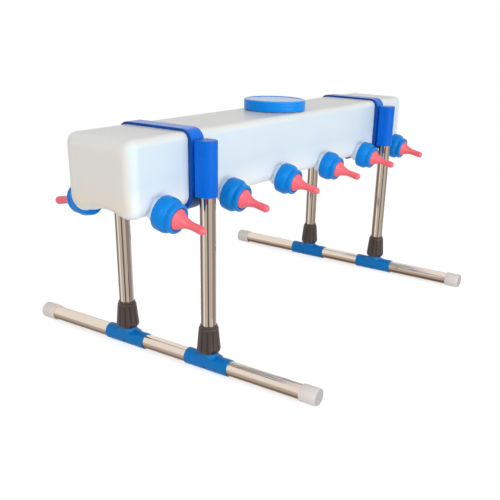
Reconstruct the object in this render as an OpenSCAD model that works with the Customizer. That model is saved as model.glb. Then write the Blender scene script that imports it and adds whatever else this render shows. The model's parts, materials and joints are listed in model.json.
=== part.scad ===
// Multi teat lamb feeder: a long milk tank in two strapped leg frames, with rubber teats
// in screw caps along both lower edges. Millimetres. X runs along the tank, Y across it
// and Z up from the ground. Left is -X, right is +X, front is -Y and back is +Y.

/* [Tank] */
// Length of the tank
tank_len = 924; // [780:2:1100]
// Width of the tank
tank_w = 130; // [120:1:160]
// Height of the tank without its neck
tank_h = 113; // [106:1:150]
// Height of the tank's underside above the ground
ride_height = 274; // [260:1:400]
// Wall of the tank
tank_wall = 3; // [2:0.5:4]
// Radius of the long top edges
tank_r_top = 12; // [6:1:18]
// Radius of the long lower edges
tank_r_low = 20; // [14:1:26]
// Radius of the edges round both ends
tank_r_end = 18; // [10:1:22]
// Rise of the tank's floor along its middle, between the two rows of teats
floor_crown = 8.5; // [4:0.5:9]

/* [Lid and neck] */
// Outer diameter of the lid
lid_d = 115; // [110:1:122]
// Height of the lid
lid_h = 18.5; // [16:0.5:26]
// Thickness of the lid's top
lid_top_t = 3; // [2:0.5:4]
// Gap between the lid's skirt and the tank
lid_lift_gap = 1.5; // [0.5:0.5:3]
// Outer diameter of the fill neck
neck_d = 102; // [92:1:103]
// Wall of the fill neck
neck_wall = 5; // [3:0.5:7]
// Thickness of the sealing ring
gasket_t = 2; // [1:0.5:3]
// Diameter of the air vent in the lid
vent_d = 3; // [2:0.5:4]

/* [Teats] */
// Teats along each side
teats_per_side = 6; // [2:2:6]
// Distance from the tank's end to its first teat
teat_inset = 54; // [50:0.5:70]
// Downward tilt of the teats in degrees
teat_tilt = 12; // [6:1:18]
// Height of the teat axis above the tank's underside, at the wall
teat_up = 9.5; // [6:0.5:16]
// Length of the teat in front of its cap
teat_len = 48; // [36:1:60]
// Diameter of the teat where it leaves the cap
teat_base_d = 32; // [28:0.5:32]
// Length of the teat's flared base
flare_len = 26; // [20:1:30]
// Diameter of the teat's stem
teat_stem_d = 12.4; // [10:0.2:14]
// Wall of the teat
teat_wall = 2.4; // [1.6:0.2:3]
// Thickness of the teat's flange
flange_t = 3; // [2:0.5:4]
// Outer diameter of the spigot
spigot_d = 38; // [36:0.5:39]
// Wall of the spigot
spigot_wall = 5; // [3.5:0.5:6]

/* [Teat caps] */
// Distance from the tank's wall to the back of the cap
cap_back = 7; // [5:0.5:10]
// Diameter of the cap's wide ring
cap_d = 54; // [52:0.5:58]
// Length of the cap's wide ring
cap_ring_len = 21.5; // [18:0.5:24]
// Diameter of the cap's nose
nose_d = 45; // [43:0.5:47]
// Length of the cap's nose
nose_len = 7; // [6:0.5:9]
// Thickness of the lip that holds the teat
cap_lip = 3; // [2:0.5:4]

/* [Straps] */
// Distance from the tank's end to the middle of its strap
strap_inset = 137; // [125:1:150]
// Width of the strap
strap_w = 30; // [24:1:34]
// Thickness of the strap beside and under the tank
strap_t = 7; // [5:0.5:9]
// Thickness of the strap over the tank's top
strap_top_t = 4; // [3:0.5:5]
// Height of the lugs that the clamp bolt draws together
lug_h = 13; // [12:0.5:18]
// Thickness of a lug
lug_t = 5; // [4:0.5:8]
// Gap between the two lugs
lug_gap = 4; // [2:0.5:8]
// Diameter of the clamp bolt
bolt_d = 6; // [5:1:6]

/* [Leg sockets] */
// Outer diameter of the socket
socket_d = 31; // [30:0.5:33]
// Distance from the socket's axis to the end of its flat-sided back
socket_back = 12.5; // [8:0.5:14]
// Length of the socket
socket_len = 84; // [70:1:90]
// Distance from the tank's top down to the socket's top
socket_drop = 10.5; // [6:0.5:16]
// Thickness of the socket's closed top
socket_top_t = 6; // [4:0.5:10]
// Width of the web between the socket and the strap
web_w = 14; // [10:1:20]
// Distance from the strap's side to the leg's axis
leg_out = 17.6; // [17:0.1:24]

/* [Legs] */
// Outer diameter of the leg and foot tubes
tube_d = 25; // [24.5:0.1:25.4]
// Wall of the tubes
tube_wall = 1.2; // [1:0.1:1.5]
// Travel of the telescopic legs
leg_travel = 150; // [60:5:160]
// Length that stays engaged at full travel
leg_overlap = 50; // [30:5:60]

/* [Lock collars] */
// Height of the collar
collar_h = 48; // [46:0.5:54]
// Diameter of the collar's top
collar_top_d = 32.6; // [32:0.2:34]
// Widest diameter of the collar
collar_low_d = 37.6; // [36.5:0.1:40]
// Flutes round the collar
flutes = 12; // [8:1:14]
// Diameter of a flute's cutter
flute_d = 5; // [4:0.5:6]
// Depth of a flute
flute_depth = 1; // [0.5:0.1:1.2]
// Outer diameter of the ferrule inside
ferrule_d = 29.2; // [28.8:0.1:29.4]

/* [Feet] */
// Length of a foot over its end caps
foot_len = 600; // [440:5:800]
// Diameter of a foot's end cap
foot_cap_d = 29; // [28.6:0.1:31]
// Length of a foot's end cap
foot_cap_len = 30; // [20:1:45]
// Thickness of the end cap's closed end
foot_cap_end = 3; // [2:0.5:6]
// Outer diameter of the tee
tee_d = 28.4; // [27.6:0.1:28.5]
// Length of the tee along the foot tube
tee_len = 86; // [70:1:90]
// Height of the tee's shoulder above the foot tube's axis
tee_up = 19.5; // [18:0.5:26]
// Radius of the fillet between the tee's branch and its run
tee_fillet = 9; // [6:0.5:12]
// Diameter of the tee's neck inside the collar
tee_neck_d = 27; // [25.5:0.1:27.2]
// Height of the tee's neck above its shoulder
tee_neck_h = 17; // [12:0.5:18]
// Diameter of the tee screw's head
screw_head_d = 5; // [4:0.5:6]

/* [Clearances] */
// Strap round the tank
strap_fit = 0.2; // [0.1:0.1:0.4]
// Fixed tube in its socket or tee
tube_fit = 0.05; // [0.02:0.01:0.1]
// Collar turning on its ferrule and tube
turn_fit = 0.06; // [0.03:0.01:0.1]
// Inner tube sliding in the outer tube
slide_fit = 0.3; // [0.2:0.05:0.4]
// Parts that pass or turn without touching
free_fit = 0.4; // [0.3:0.05:0.6]
// Flat seats between moving pieces
seat_fit = 0.3; // [0.2:0.05:0.4]

/* [Hidden] */
$fn = 96;
SIDES = [["front", -1], ["back", 1]];
ENDS = [["left", -1], ["right", 1]];
LEGS = [for (e = ENDS, s = SIDES) [str(e[0], "_", s[0]), e[1], s[1]]];
TEAT_NUMBERS = [1:teats_per_side];
LEG_NODES = ["leg_socket", "leg_tube", "leg_ferrule", "lock_collar", "inner_tube", "foot_tee"];
END_NODES = ["strap", "foot_tube", "foot_caps", "tee_screws"];
TEAT_NODES = ["cap", "teat"];

// Heights along the stand
foot_z = foot_cap_d / 2;
shoulder_z = foot_z + tee_up;
collar_z = shoulder_z + seat_fit;
tank_top_z = ride_height + tank_h;
socket_z = tank_top_z - socket_drop - socket_len;
leg_top_z = socket_z + socket_len - socket_top_t;

// Places in plan
strap_out_y = tank_w / 2 + strap_fit + strap_t;
leg_x = tank_len / 2 - strap_inset;
leg_y = strap_out_y + leg_out;

// Telescopic tubes and the lock inside the collar
tube_r = tube_d / 2;
inner_r = tube_r - tube_wall - slide_fit;
neck_gap = 1;
bell_h = tee_neck_h + neck_gap;
ferrule_end_gap = 0.5;
ferrule_z = collar_z + bell_h + ferrule_end_gap;
ferrule_grip_h = 8;
ferrule_sleeve_h = 14;
ferrule_h = ferrule_grip_h + ferrule_sleeve_h;
ferrule_slots = 4;
ferrule_slot_w = 1.6;
leg_bottom_z = ferrule_z + ferrule_grip_h;
inner_bottom_z = foot_z + tube_r + seat_fit;
inner_top_z = leg_bottom_z + leg_travel + leg_overlap;

// Lid and neck heights
lid_z = tank_top_z + lid_lift_gap;
lid_top_z = lid_z + lid_h;
gasket_z = lid_top_z - lid_top_t - gasket_t;
neck_bore_r = neck_d / 2 - neck_wall;
lid_bore_r = neck_d / 2 + free_fit;

// Stations along a teat's axis, from the tank's wall
cap_len = cap_ring_len + nose_len;
cap_front = cap_back + cap_len;
spigot_len = cap_front - cap_lip - seat_fit - flange_t;
flange_r = spigot_d / 2 - free_fit;
teat_z = ride_height + teat_up;
teat_pitch = (tank_len - 2 * teat_inset) / (teats_per_side - 1);

BLUE = [0.02, 0.52, 0.93];
STRAP_BLUE = [0.04, 0.41, 0.88];
TEE_BLUE = [0.10, 0.43, 0.76];
PINK = [1.0, 0.42, 0.48];
MILKY = [0.84, 0.88, 0.91];
STEEL = [0.72, 0.69, 0.65];
COLLAR_BROWN = [0.31, 0.27, 0.26];
WHITE = [0.89, 0.87, 0.86];

// Points along an arc round c, from angle a0 to a1
function arc(c, r, a0, a1, steps = 8) =
    [for (i = [0:steps]) c + r * [cos(a0 + (a1 - a0) * i / steps), sin(a0 + (a1 - a0) * i / steps)]];

function teat_x(i) = (i - (teats_per_side + 1) / 2) * teat_pitch;

// Moves its children onto one teat's axis, with +Z pointing out along the teat
module at_teat(i, side) {
    translate([teat_x(i), side * tank_w / 2, teat_z])
        rotate([-side * (90 + teat_tilt), 0, 0])
            children();
}

// Moves its children to the axis of one leg, at ground height
module at_leg(end, side) {
    translate([end * leg_x, side * leg_y, 0])
        children();
}

// Hollow upright cylinder
module pipe(r_out, r_in, h) {
    difference() {
        cylinder(r = r_out, h = h);
        translate([0, 0, -1])
            cylinder(r = r_in, h = h + 2);
    }
}

// Rectangle standing on its lower side, with its own radius on the top and lower corners. A crown
// arches the lower side up between the lower corners, tangent to both.
module rounded_section(w, h, r_top, r_low, crown = 0) {
    half = w / 2 - r_low;
    translate([-half, crown])
        square([2 * half, r_low - crown]);
    if (crown > 0) {
        reach = (pow(half, 2) + pow(crown, 2)) / (2 * crown);
        arch_r = reach - r_low;
        foot = half * arch_r / reach;
        foot_h = r_low * crown / reach;
        difference() {
            translate([-foot, foot_h])
                square([2 * foot, crown - foot_h]);
            translate([0, crown - arch_r])
                circle(arch_r);
        }
    }
    translate([-w / 2, r_low])
        square([w, h - r_low - r_top]);
    translate([-w / 2 + r_top, h - r_top])
        square([w - 2 * r_top, r_top]);
    for (s = [-1, 1]) {
        translate([s * (w / 2 - r_low), r_low])
            circle(r_low);
        translate([s * (w / 2 - r_top), h - r_top])
            circle(r_top);
    }
}

// Bar along X with the tank's cross-section, grown outwards by grow
module tank_bar(len, grow, crown = 0) {
    translate([0, 0, ride_height - grow])
        rotate([90, 0, 90])
            linear_extrude(height = len, center = true)
                rounded_section(
                    tank_w + 2 * grow, tank_h + 2 * grow,
                    tank_r_top + grow, tank_r_low + grow, crown
                );
}

// The tank's closed form, grown outwards by grow, with its ends rounded in plan and in side view
module tank_form(grow) {
    len = tank_len + 2 * grow;
    r = tank_r_end + grow;
    intersection() {
        tank_bar(len, grow, floor_crown);
        translate([0, -tank_w / 2 - grow, ride_height - 1])
            linear_extrude(height = tank_h + 2)
                rounded_section(len, tank_w + 2 * grow, r, r);
        translate([0, tank_w / 2 + 1, ride_height - grow])
            rotate([90, 0, 0])
                linear_extrude(height = tank_w + 2)
                    rounded_section(len, tank_h + 2 * grow, r, r);
    }
}

// Round-ended plug along a teat's axis, used for the spigot and for its bore
module spigot_form(r, h) {
    cylinder(r = r, h = h);
    sphere(r = r);
}

module tank_shell() {
    color(MILKY)
        difference() {
            union() {
                tank_form(0);
                translate([0, 0, tank_top_z - tank_wall])
                    cylinder(d = neck_d, h = gasket_z - tank_top_z + tank_wall);
                for (s = SIDES, i = TEAT_NUMBERS)
                    at_teat(i, s[1])
                        spigot_form(spigot_d / 2, spigot_len);
            }
            tank_form(-tank_wall);
            translate([0, 0, tank_top_z - 2 * tank_wall])
                cylinder(r = neck_bore_r, h = gasket_z - tank_top_z + 3 * tank_wall);
            for (s = SIDES, i = TEAT_NUMBERS)
                at_teat(i, s[1])
                    spigot_form(spigot_d / 2 - spigot_wall, spigot_len + 1);
        }
}

// Lid with two shallow grip grooves round its skirt and a shallow well in its top
module lid_cap() {
    r = lid_d / 2;
    groove = 0.6;
    groove_h = 1.2;
    edge = 1.5;
    rim_w = 8;
    well_r = r - rim_w;
    well_t = 0.8;
    color(BLUE)
        difference() {
            translate([0, 0, lid_z])
                rotate_extrude()
                    polygon(concat(
                        [[0, 0], [r, 0]],
                        [for (k = [1, 2], p = [[0, -1], [-groove, -0.5], [-groove, 0.5], [0, 1]])
                            [r + p[0], lid_h * k / 3 + p[1] * groove_h]],
                        arc([r - edge, lid_h - edge], edge, 0, 90, 4),
                        [[well_r, lid_h], [well_r - well_t, lid_h - well_t], [0, lid_h - well_t]]
                    ));
            translate([0, 0, lid_z - 1])
                cylinder(r = lid_bore_r, h = lid_h - lid_top_t + 1);
            translate([0, 0, lid_z])
                cylinder(d = vent_d, h = lid_h + 1);
        }
}

module lid_gasket() {
    color("dimgray")
        translate([0, 0, gasket_z])
            pipe(neck_d / 2, neck_bore_r, gasket_t);
}

// Outer form of a strap, thinner over the tank's top than beside and under it
module strap_form() {
    grow = strap_fit + strap_t;
    translate([0, 0, ride_height - grow])
        rotate([90, 0, 90])
            linear_extrude(height = strap_w, center = true)
                rounded_section(
                    tank_w + 2 * grow, tank_h + grow + strap_fit + strap_top_t,
                    tank_r_top + grow, tank_r_low + grow
                );
}

// Band round the tank, cut under it, with two lugs turned down at the cut
module strap(end) {
    lug_z = ride_height - strap_fit - strap_t;
    color(STRAP_BLUE)
        translate([end * leg_x, 0, 0])
            difference() {
                union() {
                    strap_form();
                    for (s = [-1, 1])
                        translate([-strap_w / 2, s * (lug_gap + lug_t) / 2 - lug_t / 2, lug_z - lug_h])
                            cube([strap_w, lug_t, lug_h + strap_t / 2]);
                }
                tank_bar(strap_w + 2, strap_fit);
                translate([-strap_w, -lug_gap / 2, lug_z - lug_h - 1])
                    cube([2 * strap_w, lug_gap, lug_h + strap_t + 2]);
                clamp_bolt_axis()
                    translate([0, 0, -lug_gap - 2 * lug_t])
                        cylinder(r = bolt_d / 2 + tube_fit, h = 2 * lug_gap + 4 * lug_t);
            }
}

// Moves its children to the middle of the clamp bolt, with +Z along the bolt towards the front
module clamp_bolt_axis() {
    translate([0, 0, ride_height - strap_fit - strap_t - lug_h / 2])
        rotate([90, 0, 0])
            children();
}

// Hexagon bolt and nut through the lugs of each strap
module clamp_bolts() {
    grip = lug_gap / 2 + lug_t;
    head_h = 4;
    head_d = 1.8 * bolt_d;
    tail = 2;
    color("gainsboro")
        for (e = ENDS)
            translate([e[1] * leg_x, 0, 0])
                clamp_bolt_axis() {
                    translate([0, 0, -grip - head_h - tail])
                        cylinder(d = bolt_d, h = 2 * grip + head_h + tail);
                    translate([0, 0, grip])
                        cylinder(d = head_d, h = head_h, $fn = 6);
                    translate([0, 0, -grip - head_h])
                        difference() {
                            cylinder(d = head_d, h = head_h, $fn = 6);
                            translate([0, 0, -1])
                                cylinder(r = bolt_d / 2 + tube_fit, h = head_h + 2);
                        }
                }
}

// Blind socket for a leg tube: a round front, a flat-sided back and a narrow web to the strap
module leg_socket(end, side) {
    color(STRAP_BLUE)
        at_leg(end, side)
            translate([0, 0, socket_z])
                difference() {
                    linear_extrude(height = socket_len) {
                        circle(d = socket_d);
                        mirror([0, side > 0 ? 1 : 0]) {
                            translate([-socket_d / 2, 0])
                                square([socket_d, socket_back]);
                            translate([-web_w / 2, 0])
                                square([web_w, leg_out]);
                        }
                    }
                    translate([0, 0, -1])
                        cylinder(r = tube_r + tube_fit, h = socket_len - socket_top_t + 1);
                }
}

module leg_tube(end, side) {
    color(STEEL)
        at_leg(end, side)
            translate([0, 0, leg_bottom_z])
                pipe(tube_r, tube_r - tube_wall, leg_top_z - leg_bottom_z);
}

// Ferrule on the end of the leg tube, with split fingers round the inner tube
module leg_ferrule(end, side) {
    color("darkslategray")
        at_leg(end, side)
            translate([0, 0, ferrule_z])
                difference() {
                    cylinder(d = ferrule_d, h = ferrule_h);
                    translate([0, 0, -1])
                        cylinder(r = inner_r + turn_fit, h = ferrule_h);
                    translate([0, 0, ferrule_grip_h])
                        cylinder(r = tube_r + tube_fit, h = ferrule_h);
                    for (k = [1:ferrule_slots / 2])
                        rotate([0, 0, k * 360 / ferrule_slots])
                            translate([-ferrule_d, -ferrule_slot_w / 2, -1])
                                cube([2 * ferrule_d, ferrule_slot_w, ferrule_grip_h]);
                }
}

// Tapered collar: a bell over the tee's neck, a chamber for the ferrule and a bore on the tube
module lock_collar(end, side) {
    foot_h = 4;
    ring_h = 6;
    bevel = 1.6;
    r_low = collar_low_d / 2;
    r_top = collar_top_d / 2;
    slope_h = collar_h - foot_h - ring_h;
    taper = atan((r_low - r_top) / slope_h);
    chamber_h = ferrule_h + 2 * ferrule_end_gap;
    color(COLLAR_BROWN)
        at_leg(end, side)
            translate([0, 0, collar_z])
                difference() {
                    rotate_extrude()
                        polygon([
                            [0, 0], [r_low - bevel, 0], [r_low, foot_h], [r_top, collar_h - ring_h],
                            [r_top, collar_h - bevel], [r_top - bevel, collar_h], [0, collar_h]
                        ]);
                    translate([0, 0, -1])
                        cylinder(r = tee_neck_d / 2 + free_fit, h = bell_h + 1);
                    translate([0, 0, bell_h])
                        cylinder(r = ferrule_d / 2 + turn_fit, h = chamber_h);
                    cylinder(r = tube_r + turn_fit, h = collar_h + 1);
                    for (k = [1:flutes])
                        rotate([0, 0, k * 360 / flutes])
                            translate([r_low + flute_d / 2 - flute_depth, 0, foot_h])
                                rotate([0, -taper, 0]) {
                                    translate([0, 0, -foot_h * 2])
                                        cylinder(d = flute_d, h = slope_h + foot_h * 2 - flute_d / 2);
                                    translate([0, 0, slope_h - flute_d / 2])
                                        sphere(d = flute_d);
                                }
                }
}

module inner_tube(end, side) {
    color(STEEL)
        at_leg(end, side)
            translate([0, 0, inner_bottom_z])
                pipe(inner_r, inner_r - tube_wall, inner_top_z - inner_bottom_z);
}

// Moves its children onto the foot tube's axis, with +Z along it towards the back
module on_foot(end) {
    translate([end * leg_x, 0, foot_z])
        rotate([-90, 0, 0])
            children();
}

// Moves its children to a tee screw, with +Z pointing out of the tee's outer face
module at_tee_screw(end, side) {
    droop = 25;
    translate([end * leg_x, side * leg_y, foot_z])
        rotate([0, end * (90 + droop), 0])
            children();
}

// Tee with a filleted branch; its neck stands inside the collar and holds the inner tube
module foot_tee(end, side) {
    r = tee_d / 2;
    color(TEE_BLUE)
        difference() {
            union() {
                on_foot(end)
                    translate([0, 0, side * leg_y - tee_len / 2])
                        cylinder(r = r, h = tee_len);
                at_leg(end, side) {
                    translate([0, 0, foot_z])
                        cylinder(r = r, h = tee_up);
                    translate([0, 0, shoulder_z])
                        cylinder(d = tee_neck_d, h = tee_neck_h);
                    intersection() {
                        translate([0, 0, foot_z])
                            rotate_extrude()
                                polygon(concat(
                                    [[0, 0], [r + tee_fillet, 0]],
                                    arc([r + tee_fillet, tee_up], tee_fillet, 270, 180),
                                    [[0, tee_up]]
                                ));
                        translate([-r, -r - tee_fillet, foot_z])
                            cube([2 * r, 2 * (r + tee_fillet), tee_up]);
                    }
                }
            }
            on_foot(end)
                translate([0, 0, side * leg_y - tee_len])
                    cylinder(r = tube_r + tube_fit, h = 2 * tee_len);
            at_leg(end, side)
                translate([0, 0, foot_z])
                    cylinder(r = inner_r + tube_fit, h = tee_up + tee_neck_h + 1);
            at_tee_screw(end, side)
                tee_screw_form(tube_fit);
        }
}

// Countersunk screw through the tee's wall into the foot tube, grown by grow
module tee_screw_form(grow) {
    head_h = 0.9;
    shank_d = 3;
    tip = 3;
    translate([0, 0, tube_r - tube_wall - tip])
        cylinder(d = shank_d + 2 * grow, h = tee_d / 2 - tube_r + tube_wall + tip - head_h);
    translate([0, 0, tee_d / 2 - head_h])
        cylinder(d = screw_head_d + 2 * grow, h = head_h + grow);
}

module tee_screws(end) {
    color("gray")
        for (s = SIDES)
            at_tee_screw(end, s[1])
                tee_screw_form(0);
}

module foot_tube(end) {
    len = foot_len - 2 * foot_cap_end;
    color(STEEL)
        difference() {
            on_foot(end)
                translate([0, 0, -len / 2])
                    pipe(tube_r, tube_r - tube_wall, len);
            for (s = SIDES)
                at_tee_screw(end, s[1])
                    tee_screw_form(tube_fit);
        }
}

// Round-nosed cups pushed over both ends of the foot tube
module foot_caps(end) {
    r = foot_cap_d / 2;
    nose = 3;
    color(WHITE)
        for (s = [-1, 1])
            on_foot(end)
                mirror([0, 0, s > 0 ? 0 : 1])
                    translate([0, 0, foot_len / 2 - foot_cap_len])
                        rotate_extrude()
                            polygon(concat(
                                [[tube_r + tube_fit, 0], [r, 0]],
                                arc([r - nose, foot_cap_len - nose], nose, 0, 90),
                                [
                                    [0, foot_cap_len], [0, foot_cap_len - foot_cap_end],
                                    [tube_r + tube_fit, foot_cap_len - foot_cap_end]
                                ]
                            ));
}

// Screw cap: a wide ring with a round shoulder, a waist, and a nose whose lip holds the teat's flange
module teat_cap(i, side) {
    r = cap_d / 2;
    nose_r = nose_d / 2;
    waist_depth = 0.6;
    waist_r = nose_r - waist_depth;
    shoulder_r = 12;
    shoulder_a = acos((waist_r - r + shoulder_r) / shoulder_r);
    shoulder_z = cap_ring_len - shoulder_r * sin(shoulder_a);
    edge = 1;
    nose_edge = 1.4;
    color(BLUE)
        at_teat(i, side)
            translate([0, 0, cap_back])
                difference() {
                    rotate_extrude()
                        polygon(concat(
                            [[0, 0], [r - edge, 0], [r, 2 * edge]],
                            arc([r - shoulder_r, shoulder_z], shoulder_r, 0, shoulder_a),
                            arc([nose_r - edge, cap_ring_len + edge], edge, -60, 0, 3),
                            arc([nose_r - nose_edge, cap_len - nose_edge], nose_edge, 0, 90, 4),
                            [[0, cap_len]]
                        ));
                    translate([0, 0, -1])
                        cylinder(r = spigot_d / 2 + free_fit, h = cap_len - cap_lip + 1);
                    cylinder(r = teat_base_d / 2 + free_fit, h = cap_len + 1);
                }
}

// Hollow rubber teat: a flange under the cap's lip, a flared base and a slim stem with a round tip
module teat(i, side) {
    stem_r = teat_stem_d / 2;
    base_r = teat_base_d / 2;
    tip_swell = 0.5;
    waist_r = stem_r - tip_swell;
    flare_r = (pow(flare_len, 2) + pow(base_r - waist_r, 2)) / (2 * (base_r - waist_r));
    flare_a = asin(flare_len / flare_r);
    body_z = flange_t + seat_fit + cap_lip;
    tip_z = body_z + teat_len;
    function flare(grow) = [for (p = arc([waist_r + flare_r, flare_len], flare_r, 180 + flare_a, 180))
        [p[0] - grow, body_z + p[1]]];
    color(PINK)
        at_teat(i, side)
            translate([0, 0, spigot_len])
                rotate_extrude()
                    polygon(concat(
                        [[base_r - teat_wall, 0], [flange_r, 0], [flange_r, flange_t], [base_r, flange_t]],
                        flare(0),
                        arc([0, tip_z - stem_r], stem_r, 0, 90),
                        arc([0, tip_z - stem_r], stem_r - teat_wall, 90, 0),
                        [for (k = [len(flare(0)) - 1:-1:0]) flare(teat_wall)[k]]
                    ));
}

tank_shell();
lid_cap();
lid_gasket();
clamp_bolts();
for (e = ENDS) {
    strap(e[1]);
    foot_tube(e[1]);
    foot_caps(e[1]);
    tee_screws(e[1]);
}
for (l = LEGS) {
    leg_socket(l[1], l[2]);
    leg_tube(l[1], l[2]);
    leg_ferrule(l[1], l[2]);
    lock_collar(l[1], l[2]);
    inner_tube(l[1], l[2]);
    foot_tee(l[1], l[2]);
}
for (s = SIDES, i = TEAT_NUMBERS) {
    teat_cap(i, s[1]);
    teat(i, s[1]);
}
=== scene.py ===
"""Multi teat lamb feeder: modelled pieces, materials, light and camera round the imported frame."""

import json
import math

import bpy
from mathutils import Matrix, Quaternion, Vector


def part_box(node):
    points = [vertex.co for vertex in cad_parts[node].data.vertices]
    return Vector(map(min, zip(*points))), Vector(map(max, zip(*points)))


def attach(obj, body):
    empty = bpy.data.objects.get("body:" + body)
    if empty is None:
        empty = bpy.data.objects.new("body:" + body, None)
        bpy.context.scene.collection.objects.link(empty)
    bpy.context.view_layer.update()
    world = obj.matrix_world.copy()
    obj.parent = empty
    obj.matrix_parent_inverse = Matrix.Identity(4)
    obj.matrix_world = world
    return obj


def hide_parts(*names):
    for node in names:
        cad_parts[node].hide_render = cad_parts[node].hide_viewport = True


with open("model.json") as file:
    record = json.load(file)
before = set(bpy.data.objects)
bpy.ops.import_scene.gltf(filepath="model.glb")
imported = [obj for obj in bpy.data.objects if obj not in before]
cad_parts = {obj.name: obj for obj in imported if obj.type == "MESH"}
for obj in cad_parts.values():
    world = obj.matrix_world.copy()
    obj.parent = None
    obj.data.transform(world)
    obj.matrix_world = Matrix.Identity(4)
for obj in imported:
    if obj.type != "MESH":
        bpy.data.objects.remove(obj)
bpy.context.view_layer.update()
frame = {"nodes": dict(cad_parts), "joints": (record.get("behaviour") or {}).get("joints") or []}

MM = 0.001
UP = Vector((0, 0, 1))

# Points nearer than this are one point, and faces that meet at less than this are one face
MERGE = 0.002 * MM
FLAT = math.radians(0.6)

# Edges sharper than these stay sharp in the shading, or are rounded over
SMOOTH = math.radians(32)
FLUTE_SMOOTH = math.radians(50)
ROOT_ANGLE = math.radians(40)

ENDS = ("left", "right")
SIDES = ("front", "back")
LEGS = [f"{end}_{side}" for end in ENDS for side in SIDES]
TEATS = [(side, number) for side in SIDES for number in range(1, 7)]
JOINTS = {joint["name"]: joint for joint in frame["joints"]}

# Tank
TANK_LEN = 2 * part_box("tank_shell")[1].x
TANK_W = 2 * abs(JOINTS["front_cap_1_unscrew"]["pos_m"][1])
TANK_FLOOR = 274 * MM
TANK_TOP = 387 * MM
TANK_WALL = 3 * MM
TANK_R_TOP = 12 * MM
TANK_R_LOW = 20 * MM
TANK_R_END = 18 * MM
FLOOR_CROWN = 8.5 * MM
SPIGOT_R = 19 * MM
SPIGOT_BORE_R = 14 * MM
SPIGOT_LEN = 29.2 * MM
ROOT_ROUND = 1.6 * MM

# Neck and lid
NECK_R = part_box("lid_gasket")[1].x
NECK_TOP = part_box("lid_gasket")[0].z
NECK_BORE_R = NECK_R - 5 * MM
THREAD_DEPTH = 1.2 * MM
THREAD_PITCH = 5 * MM
LID_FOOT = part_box("lid_cap")[0].z
LID_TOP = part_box("lid_cap")[1].z
LID_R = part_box("lid_cap")[1].x
LID_BORE_R = NECK_R + 0.4 * MM
LID_TOP_T = 3 * MM
VENT_R = 1.5 * MM

# Places of the rings up the lid's skirt, as shares of its height
LID_RINGS = (0.22, 0.48, 0.74)

# Straps and leg sockets
SOCKET_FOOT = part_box("leg_socket_left_front")[0].z
STRAP_ROUND = 1.2 * MM
SOCKET_ROUND = 0.8 * MM

# Teat caps and teats; lengths run along a teat's axis
CAP_BACK = 7 * MM
CAP_RING_LEN = 21.5 * MM
CAP_LEN = 30.5 * MM
CAP_R = 27 * MM
CAP_NOSE_R = 22.5 * MM
CAP_WAIST_R = 21.9 * MM
CAP_SHOULDER_R = 12 * MM
CAP_LIP = 5 * MM
TEAT_BASE_R = 16 * MM
TEAT_STEM_R = 6.4 * MM
TEAT_WAIST_R = 6 * MM
TEAT_WALL = 2.4 * MM
TEAT_LEN = 48.5 * MM
TEAT_GROOVE = 1.3 * MM
MILK_HOLE_R = 0.7 * MM
FLARE_LEN = 26 * MM
FLANGE_R = 18.6 * MM
FLANGE_T = 3 * MM
FIT = 0.4 * MM

# Lock collars; heights run from a collar's foot
COLLAR_LOW_R = 19.7 * MM
COLLAR_LIP_R = 14.3 * MM
COLLAR_TOP_R = 16.3 * MM
COLLAR_BORE_R = 12.56 * MM
COLLAR_BELL_R = 13.9 * MM
COLLAR_BELL_H = 18 * MM
COLLAR_FOOT_H = 5.5 * MM
COLLAR_RING_H = 6 * MM
CHAMBER_R = 14.66 * MM
CHAMBER_TOP = 41 * MM
FLUTES = 12
FLUTE_DEPTH = 1.0 * MM

# Feet and fasteners
TEE_R = 14.2 * MM
TEE_ROUND = 0.9 * MM
FOOT_CAP_R = 14.5 * MM
FOOT_CAP_LEN = 30 * MM
FOOT_CAP_BORE_R = 12.55 * MM
FOOT_CAP_END = 3 * MM
SCREW_DROOP = math.radians(25)

# Finishes: scale and depth of the grain, depth and stretch of drawn lines, noise that makes a rub mark
GRAIN_SCALE = 900.0
GRAIN_DEPTH = 0.02 * MM
COARSE_DEPTH = 0.04 * MM
DRAWN_DEPTH = 0.01 * MM
DRAWN = 0.012
RUB_EDGE = (0.58, 0.72)
STEEL_ROUGHNESS = 0.09

# Camera of the photo
CAMERA_PLACE = (-1.157, -0.7275, 0.5377)
CAMERA_AIM = (0, -0.0160, -0.0279)
CAMERA_ROLL = math.radians(1.875)
CAMERA_LENS = 50.32
CAMERA_SENSOR = 36
CAMERA_SHIFT = (-0.050, 0.1286)
FACING = math.atan2(CAMERA_PLACE[1], CAMERA_PLACE[0])

# Floor: its greys for light and for the camera, and its colour in polished metal
FLOOR_SIZE = 6
FLOOR_MATTE = 0.85
FLOOR_SEEN = 0.6
FLOOR_IN_METAL = (0.80, 0.775, 0.76, 1)

# Share of the white room behind it that the floor lets through to the camera
FLOOR_LIFT = 0.65

# Distances between which the floor fades into the room
FLOOR_FADE = (1.0, 1.8)

# Grey wall behind the feeder
WALL_GREY = 0.78
WALL_AWAY = 2.4
WALL_HALF_W = 2.6
WALL_FOOT = 0.02
WALL_TOP = 1.7

# Light of the white room, and the point that the lamps face
ROOM_LIGHT = (0.97, 0.985, 1.0, 1)
ROOM_STRENGTH = 0.5
LAMP_AIM = (0, 0, 0.3)


def tone(red, green, blue):
    """A colour given as it shows on a screen, 0 to 255, as the linear colour that a shader takes."""
    shares = [part / 255 for part in (red, green, blue)]
    return tuple(s / 12.92 if s <= 0.04045 else ((s + 0.055) / 1.055) ** 2.4 for s in shares) + (1.0,)


def grey(value):
    return (value, value, value, 1)


LEG_TONES = (tone(197, 183, 168), tone(210, 197, 183))
STEEL_TONES = (tone(222, 207, 191), tone(236, 222, 207))
# Painted shade: dark steel tones for the tee screws, standing for the shade in their holes
SCREW_HOLE_SHADE_TONES = (tone(52, 62, 82), tone(70, 80, 98))


# Modelling helpers


def nothing_selected():
    if bpy.context.mode != "OBJECT":
        bpy.ops.object.mode_set(mode="OBJECT")
    bpy.ops.object.select_all(action="DESELECT")


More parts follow.
